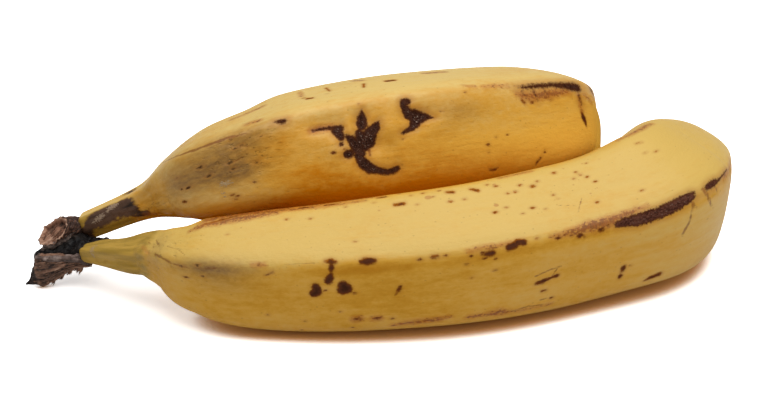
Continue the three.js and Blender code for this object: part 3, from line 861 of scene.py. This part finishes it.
# The torn face is drawn in from the rim. Places on it are told as shares of its half height and
# half width.
rim = trunk[-1]
middle = rim.mean(0)
half_height, half_width = np.array(STUB[-1][1]), np.array(STUB[-1][2])
outward = unit(np.cross(half_height, half_width))
outward *= -np.sign(outward[0])
shrink = np.linspace(1, 0.03, FACE_ROWS + 1)[1:, None, None]
face = middle + shrink * (rim - middle)
high = (face - middle) @ (half_height / (half_height @ half_height))
wide = (face - middle) @ (half_width / (half_width @ half_width))
inwards = 1 - shrink[..., 0]
face_map = np.stack([wide * FACE_HALF_WIDTH, 0 * high, high * FACE_HALF_HEIGHT], -1)
tongue = ease(0.55 - high, 0, 0.35) * np.exp(-((wide + 0.1) / 0.38) ** 2)
hollow = ease(inwards, 0.08, 0.3) * (1 - 0.75 * tongue)
ribs = np.sin(12 * (wide + 0.18 * high**2) + 1.6 * rough(face_map * (1, 1, 0.4), 1.2, 11))
depth = (-0.9 * hollow * ease(high, -0.9, 0.4) - 0.4 * hollow + 0.24 * ribs * ease(inwards, 0, 0.1)
         + 0.30 * rough(face_map * (1, 1, 0.3), 0.5, 12)
         + 0.15 * rough(face_map * (1, 1, 0.4), 0.22, 17))
swollen_trunk = swollen(trunk, folds)
face = face + outward * depth[..., None] + (swollen_trunk[-1] - rim) * shrink
stub_fields = {
    "straight": np.vstack([trunk_map, face_map + (0, 0, 40)]),  # the face has fibres of its own
    # The hollow of the face and the grooves of the folds take the dark end, as painted shade.
    "crest": np.vstack([folds - 0.35, 0.55 * depth + 0.55]),
}
crown_piece("torn_stub", np.vstack([swollen_trunk, face]), stub_fields,
            husk_finish("torn_stem", "38231a", "94674f", "bd9880", 0.8))


# ---- The folds of the crown ----
# Skin of the stem that dried in folds: a collar wrapped round the root of the rear stalk, the torn
# lower lip of the stub, curled forward, and the top of the flap, rolled over and worn pale.

COLLAR = [  # dried folds wrapped round the root of the rear stalk
    ((-83.2, -13.8, 11.2), (0, 0, 1.6), (0, 1.4, 0)),
    ((-82.2, -13.2, 11.6), (0, 0, 2.3), (0, 2.2, 0)),
    ((-81.2, -12.7, 12.1), (0, 0, 2.6), (0, 2.9, 0)),
    ((-80.2, -12.2, 12.5), (0, 0, 2.5), (0, 3.1, 0)),
    ((-79.2, -11.8, 12.7), (0, 0, 2.3), (0, 3.0, 0)),
    ((-78.3, -11.5, 12.8), (0, 0, 1.8), (0, 2.5, 0)),
]
LIP = [  # the lower edge of the stub, torn and curled forward
    ((-87.0, -19.2, 10.2), (0.1, 0, 0.4), (0, 0.4, 0)),
    ((-86.2, -19.5, 10.6), (0.1, 0.1, 0.7), (-0.1, 0.7, 0)),
    ((-84.6, -19.5, 11.1), (0.2, 0.2, 0.9), (-0.2, 0.9, 0)),
    ((-82.8, -18.8, 11.8), (0.3, 0.2, 0.9), (-0.4, 0.9, 0)),
    ((-81.0, -17.2, 12.2), (0.5, 0.3, 0.8), (-0.6, 0.8, 0)),
    ((-79.7, -15.2, 12.9), (0.6, 0.3, 0.7), (-0.6, 0.7, 0)),
    ((-78.8, -13.4, 13.7), (0.5, 0.2, 0.5), (-0.4, 0.5, 0)),
    ((-78.5, -12.6, 14.3), (0.2, 0, 0.2), (-0.2, 0.2, 0)),
]
ROLL = [  # the top of the flap, rolled over and worn pale along its edge
    ((-88.2, -20.9, 8.7), (0, 0, 0.2), (0, 0.3, 0)),
    ((-87.3, -21.3, 8.9), (0, 0.1, 0.5), (0, 0.7, 0)),
    ((-85.4, -21.6, 8.7), (0, 0.1, 0.5), (0, 0.9, 0)),
    ((-83.4, -21.8, 8.9), (0, 0.1, 0.6), (0, 0.9, 0)),
    ((-81.0, -21.8, 8.7), (0, 0.1, 0.5), (0, 0.9, 0)),
    ((-78.8, -21.9, 8.8), (0, 0.1, 0.6), (0, 1.0, 0)),
    ((-77.0, -21.9, 8.9), (0, 0.1, 0.9), (0, 1.2, 0)),
    ((-75.6, -22.1, 8.3), (0, 0, 0.9), (0, 1.0, 0)),
    ((-74.3, -22.4, 7.3), (0, 0, 0.2), (0, 0.2, 0)),
]


def folded_piece(name, points, unrolled, height, material):
    """A piece of the crown with its folds raised and their crests marked for its finish."""
    crown_piece(name, swollen(points, height), {"straight": unrolled, "crest": height}, material)


def grooves(unrolled, size, length, seed):
    """Ridges and grooves that run along a piece, from about -1 to 1."""
    return rough(unrolled * (1, 1, size / length) + seed, size, seed)


dark_husk = husk_finish("dried_folds", "221914", "63524a", "a3928a", 0.7, dusty=0.6)
collar, collar_map = loft(COLLAR)
folded_piece("stalk_collar", collar, collar_map,
             0.08 * np.sin(collar_map[..., 2] * 6 + 3.0 * rough(collar_map, 1.8, 21))
             + 0.28 * rough(collar_map, 0.9, 22) + 0.18 * rough(collar_map, 0.35, 23), dark_husk)
lip, lip_map = loft(LIP, rows=130, sides=90)
folded_piece("torn_lip", lip, lip_map,
             0.26 * rough(lip_map, 0.8, 24) + 0.22 * rough(lip_map, 0.4, 25), dark_husk)
roll, roll_map = loft(ROLL, rows=130, sides=110)
folded_piece("rolled_edge", roll, roll_map,
             0.24 * grooves(roll_map, 0.5, 4, 26) + 0.28 * rough(roll_map, 0.9, 27)
             + 0.08 * rough(roll_map, 0.3, 28) + 0.12,
             husk_finish("worn_skin", "231916", "5a463d", "a08c82", 0.65, dusty=0.45))


# ---- The web of sap ----
# Sap that ran out between the two stalks when the bunch was cut, from under the stub to the fork.
# It dried hard, black and shiny, in lumps.

WEB = [  # dried sap from under the stub to between the stalks
    ((-88.9, -18.9, 8.0), (0, 0, 0.4), (0, 0.4, 0)),
    ((-88.2, -18.9, 8.2), (0, 0, 1.1), (0, 1.3, 0)),
    ((-86.6, -18.6, 8.9), (0, 0, 1.5), (0, 2.2, 0)),
    ((-83.5, -17.6, 9.1), (0, 0, 2.0), (0, 3.4, 0)),
    ((-80.6, -16.6, 9.4), (0, 0, 2.5), (0, 4.2, 0)),
    ((-77.9, -17.0, 9.9), (0, 0, 2.6), (0, 4.6, 0)),
    ((-75.9, -17.6, 10.2), (0, 0.2, 2.1), (0, 4.0, 0)),
    ((-73.6, -17.6, 11.2), (0, 0.2, 1.2), (0, 2.0, 0)),
    ((-71.5, -18.6, 12.0), (0, 0.1, 0.7), (0, 1.0, 0)),
    ((-69.8, -19.1, 12.4), (0, 0, 0.4), (0, 0.5, 0)),
    ((-68.4, -19.3, 12.4), (0, 0, 0.1), (0, 0.2, 0)),
]

sap = husk_finish("dried_sap", "050404", "14100e", "463931", 0.38, (0.9, 0.9, 0.6), 0.1, 0.14)
web, web_map = loft(WEB)
folded_piece("sap_web", web, web_map,
             0.42 * rough(web_map, 1.8, 31) + 0.22 * rough(web_map, 0.8, 32)
             + 0.06 * rough(web_map, 0.3, 33), sap)


# ---- The cut flap ----
# A broad thin piece of the stem that hangs down to the table, where it was cut and frayed. It is
# smooth skin at its far edge, and bare fibres that run together from there on.

FLAP_SPREAD = 4.4  # half the width of its fibres where it is broad, in millimetres
SKIN_EDGE = 3.6  # how far along the flap its smooth skin reaches, in millimetres
FLAP = [  # from its far edge to the tongue under the front stalk; the half widths run up and forward
    ((-90.6, -20.5, 2.2), (0.8, 0, 1.7), (-0.1, -0.3, 0)),
    ((-90.0, -20.6, 3.5), (0.8, 0, 3.1), (-0.3, -1.0, 0)),
    ((-88.6, -20.7, 4.5), (0.6, 0, 4.2), (-0.4, -1.7, 0)),
    ((-86.6, -20.7, 4.9), (0.4, 0, 4.6), (0, -2.3, 0)),
    ((-84.1, -20.7, 5.7), (0.5, 0, 4.0), (0, -2.4, 0)),
    ((-81.7, -20.7, 6.5), (0.6, 0, 3.2), (0, -2.2, 0)),
    ((-79.3, -20.9, 7.2), (0.6, 0, 2.3), (0, -1.9, 0)),
    ((-77.2, -21.4, 7.5), (0.4, 0, 1.3), (0, -1.5, 0)),
    ((-75.2, -21.9, 7.2), (0.2, 0, 0.7), (0, -1.0, 0)),
    ((-74.0, -22.2, 7.0), (0.1, 0, 0.2), (0, -0.3, 0)),
]

flap, flap_map = loft(FLAP, rows=200, sides=200, thin=0.4)
flap_map[..., 0] = FLAP_SPREAD * np.cos(full_turn(flap.shape[1]))
slant = flap_map[..., 2] + 0.25 * flap_map[..., 0]  # the skin tore off at a slant
bare = ease(slant, SKIN_EDGE - 0.4, SKIN_EDGE + 1)
ridge = np.exp(-((slant - SKIN_EDGE) / 0.5) ** 2)
folded_piece("cut_flap", flap, flap_map,
             bare * (0.34 * grooves(flap_map, 0.45, 6, 41) + 0.40 * grooves(flap_map, 1.2, 9, 42)
                     + 0.16 * grooves(flap_map, 0.22, 4, 45))
             + 0.22 * rough(flap_map, 0.9, 43) + 0.08 * rough(flap_map, 0.35, 44) + 0.4 * ridge
             - 0.45 * (1 - bare), husk_finish("bare_fibres", "2c1d16", "86614b", "c4a088", 0.75))


# ---- The loose fibres ----
# Fibres of the stem that were pulled out and never cut clean: a fringe of curled locks along the
# torn edge of the flap, and strands that lie along both of its faces and across the stub's.

FRINGE = (  # the locks: where each hangs, as a share of the flap's length, and how long it is
    (0.40, 1.0), (0.46, 1.9), (0.51, 1.2), (0.56, 2.0), (0.61, 1.3), (0.66, 1.8), (0.71, 1.2),
    (0.76, 2.3), (0.80, 2.6),
)
LOCK_FIBRES, FLAP_FIBRES, STUB_FIBRES = 11, 60, 24
STRAND_ROWS, STRAND_SIDES = 9, 8


def strand(start, way, length, radius, curl, draw):
    """One fibre as a thin tapering tube, which bends the way of `curl`."""
    t = np.linspace(0, 1, STRAND_ROWS)[:, None]
    line = start + length * (t * way + t**2 * curl)
    ahead = unit(np.gradient(line, axis=0))
    side = unit(np.cross(ahead, draw.normal(size=3)))
    up = np.cross(side, ahead)
    thick = radius * (1 - 0.8 * t**1.5) * draw.uniform(0.8, 1.2, t.shape)
    return rings(line[:, None], thick, full_turn(STRAND_SIDES), side[:, None], up[:, None])


def joined(name, strands, material):
    """All the strands as one piece, each a closed tube."""
    j = np.arange(STRAND_SIDES)
    k = (j + 1) % STRAND_SIDES
    faces = []
    for first in np.arange(len(strands)) * STRAND_ROWS * STRAND_SIDES:
        for here in first + np.arange(STRAND_ROWS - 1) * STRAND_SIDES:
            there = here + STRAND_SIDES
            faces += np.stack([here + j, there + j, there + k, here + k], 1).tolist()
        last = first + (STRAND_ROWS - 1) * STRAND_SIDES
        faces += [(first + j).tolist(), (last + j[::-1]).tolist()]
    points = np.vstack([s.reshape(-1, 3) for s in strands])
    fields = {"straight": points, "crest": 0.2 * np.sin(points[:, 0] * 3)}
    piece = smooth_piece(name, points, faces, fields, material)
    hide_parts("crown")


draw = np.random.default_rng(51)
flap_rows, flap_sides = flap.shape[:2]
edge = flap_sides // 2
strands = []
for place, longest in FRINGE:
    for _ in range(LOCK_FIBRES):
        row = int((place + 0.010 * draw.normal()) * flap_rows)
        start = flap[row, edge + draw.integers(-14, 15)] + (0, 0, 0.6)
        way = np.array([0.62 + 0.08 * draw.normal(), 0.10 * draw.normal(), -0.5])
        curl = np.array([-0.75 + 0.08 * draw.normal(), 0.10 * draw.normal(),
                         -0.25 + 0.08 * draw.normal()])
        clear = max(0.6, (start[2] - 0.2) / 0.85)  # how long it can be without reaching the table
        length = min(1.3 * longest * draw.uniform(0.7, 1.05), clear)
        strands.append(strand(start, way, length, draw.uniform(0.25, 0.45), curl, draw))
for n in range(FLAP_FIBRES):
    behind = n % 3 == 0
    row = int(draw.uniform(0.22, 0.7) * flap_rows)
    side = int(draw.uniform(0.08, 0.46) * flap_sides) + (edge if behind else 0)
    start = flap[row, side] + (0, 0.25 if behind else -0.25, 0)
    way = unit(flap[min(row + 30, flap_rows - 1), side] - flap[row, side])
    length, radius = draw.uniform(2, 5), draw.uniform(0.10, 0.2)
    curl = np.array([0, draw.normal() * 0.05, draw.normal() * 0.06])
    strands.append(strand(start, way, length, radius, curl, draw))
for _ in range(STUB_FIBRES):
    start = middle + draw.uniform(-0.75, 0.0) * half_height + draw.uniform(-0.6, 0.6) * half_width
    way = unit(half_height) + 0.15 * outward
    length, radius = draw.uniform(1.5, 3.5), draw.uniform(0.10, 0.22)
    strands.append(strand(start - 0.55 * outward, way, length, radius,
                          0.12 * draw.normal(size=3), draw))
joined("loose_fibres", strands,
       husk_finish("frayed_fibres", "5a3e2f", "966d55", "c09c82", 0.8, (2, 2, 2)))


# ---- The blossom ends ----
# What is left of the flower at the tip of each fruit: a short waisted knob, dried black and brittle,
# puckered lengthwise. It grew there, with a torn rim and the stump of the style in its hollow.

BLOSSOM_ROWS, BLOSSOM_SIDES = 130, 144
BLOSSOM_SHARE = 0.72  # of the radius of the fruit's end
BLOSSOM_CLEARANCE = 0.03  # how far it stays off the table, in millimetres
THINNEST = 0.08  # radius that wrinkles leave it at the least, in millimetres
# Places down the knob and into its hollow: how far out it is in millimetres, and its share of the
# width.
BLOSSOM_PROFILE = [
    (-0.5, 0.95), (0.1, 1.0), (0.5, 0.97), (1.0, 0.84), (1.5, 0.80), (2.0, 0.84), (2.5, 0.88),
    (2.8, 0.80), (2.7, 0.66), (2.2, 0.52), (1.8, 0.38), (1.8, 0.24), (2.3, 0.17), (2.8, 0.12),
    (2.85, 0.05),
]


def blossom_end(name, node, peel, seed):
    """The dried flower at the tip of a fruit, with wrinkles and crumbs of its own."""
    profile = np.array(BLOSSOM_PROFILE)
    steps = np.linspace(0, len(profile) - 1, BLOSSOM_ROWS)
    out, share = [np.interp(steps, np.arange(len(profile)), column)[:, None] for column in profile.T]
    turn = full_turn(BLOSSOM_SIDES)
    width = peel.radius[-1] * BLOSSOM_SHARE
    down = lengths(np.hstack([out, width * share]))[:, None]
    unrolled = straightened(width * np.cos(turn), width * np.sin(turn), down)
    puckers = (0.45 * rough(unrolled * (1, 1, 0.2), 1.1, seed)
               + 0.25 * rough(unrolled * (1, 1, 0.25), 0.5, seed + 1))
    crumbs = 0.18 * rough(unrolled, 0.7, seed + 2) + 0.10 * rough(unrolled, 0.3, seed + 3)
    reach = width * share + puckers * (0.35 + 0.65 * share) + crumbs - 0.25
    reach = np.maximum(reach, THINNEST)
    torn = 0.30 * rough(unrolled * (1, 1, 0.3) + 9, 0.9, seed + 4) * ease(down, 2, 4)
    middle = peel.place[-1] + (out + torn)[..., None] * peel.ahead[-1]
    points = rings(middle, reach, turn, peel.side[-1], peel.up[-1])
    points[..., 2] = np.maximum(points[..., 2], BLOSSOM_CLEARANCE)
    piece = skin(name, points, {"straight": unrolled, "crest": puckers + crumbs - 0.1},
                 husk_finish(name + "_tissue", "0f0b09", "36271f", "80685a", 0.85,
                             (1.4, 1.4, 0.5), 0.25))
    unroll(piece, *points.shape[:2])
    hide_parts(node)


blossom_end("front_flower_scar", "front_blossom_end", front, 61)
blossom_end("rear_flower_scar", "rear_blossom_end", rear, 71)


# ---- The table, the light and the camera ----
# A white studio table under one broad soft light, seen from a little above.

TABLE_HALF = 3.0  # metres
SHADE_REACH = 6.5 * MM  # how far round the fruit the warm shade spreads over the table
LAMP_PLACE = (0.1, -0.08, 0.93)
WORLD_LIGHT = 0.19  # what the white room gives to the fruit, when 1 is white
CAMERA_AIM = (0, -0.0073, 0.018)
CAMERA_DISTANCE = 0.585
CAMERA_RISE = math.radians(25)

floor_mesh = bpy.data.meshes.new("table_top")
corners = [(-1, -1), (1, -1), (1, 1), (-1, 1)]
floor_mesh.from_pydata([(TABLE_HALF * x, TABLE_HALF * y, 0) for x, y in corners], [], [(0, 1, 2, 3)])
floor = placed("table_top", floor_mesh)

# The camera sees the table as a bright white sheet that glows a little, so that shadows stay soft
# on it, with a warm painted shadow close under the fruit. What lights the fruit is a plainer white.
table = Finish("white_table", 0.9)
# The painted shadow: colour and glow turn dark and warm by how closely the fruit covers the table.
open_to_sky = table.add("AmbientOcclusion", {"Distance": SHADE_REACH}, samples=12).outputs["AO"]
clear = table.ramp(open_to_sky, 0.27, 0.55)
white = table.blend(clear, (0.75, 0.4, 0.16, 1), (1.5, 1.5, 1.49, 1))
shade = table.blend(table.ramp(open_to_sky, 0.04, 0.26), (0.02, 0.004, 0, 1), (0.17, 0.085, 0.03, 1))
shade = table.blend(table.ramp(open_to_sky, 0.36, 0.6), shade, (0.5, 0.49, 0.49, 1))
matt = table.add("BsdfDiffuse", {"Color": white})
glow = table.add("Emission", {"Color": shade})
sheet = table.add("AddShader", {0: matt.outputs[0], 1: glow.outputs[0]})
plain = table.add("BsdfDiffuse", {"Color": (0.8, 0.8, 0.8, 1)})
path = table.add("LightPath", {})
choice = table.add("MixShader", {0: path.outputs["Is Camera Ray"], 1: plain.outputs[0],
                                 2: sheet.outputs[0]})
table.feed(table.nodes["Material Output"].inputs["Surface"], choice.outputs[0])
table.nodes.remove(table.shader)
floor_mesh.materials.append(table.material)

world = bpy.data.worlds.new("studio")
bpy.context.scene.world = world
world.use_nodes = True
nodes, links = world.node_tree.nodes, world.node_tree.links
sky = nodes["Background"]
sky.inputs["Color"].default_value = (1, 1, 1, 1)
path = nodes.new("ShaderNodeLightPath")
strength = nodes.new("ShaderNodeMapRange")
strength.inputs["To Min"].default_value = WORLD_LIGHT
strength.inputs["To Max"].default_value = 1.0
links.new(path.outputs["Is Camera Ray"], strength.inputs["Value"])
links.new(strength.outputs["Result"], sky.inputs["Strength"])

lamp_data = bpy.data.lights.new("soft_box", "AREA")
lamp_data.shape = "DISK"
lamp_data.size = 1.4
lamp_data.energy = 12.5
lamp = placed("soft_box", lamp_data)
lamp.location = LAMP_PLACE
lamp.rotation_euler = (math.atan2(-LAMP_PLACE[1], LAMP_PLACE[2]),
                       math.atan2(LAMP_PLACE[0], LAMP_PLACE[2]), 0)

camera_data = bpy.data.cameras.new("camera")
camera_data.lens = 106.6
camera = placed("camera", camera_data)
camera.location = (CAMERA_AIM[0], CAMERA_AIM[1] - CAMERA_DISTANCE * math.cos(CAMERA_RISE),
                   CAMERA_AIM[2] + CAMERA_DISTANCE * math.sin(CAMERA_RISE))
camera.rotation_euler = (math.pi / 2 - CAMERA_RISE, 0, 0)
bpy.context.scene.camera = camera
bpy.context.scene.view_settings.view_transform = "Standard"
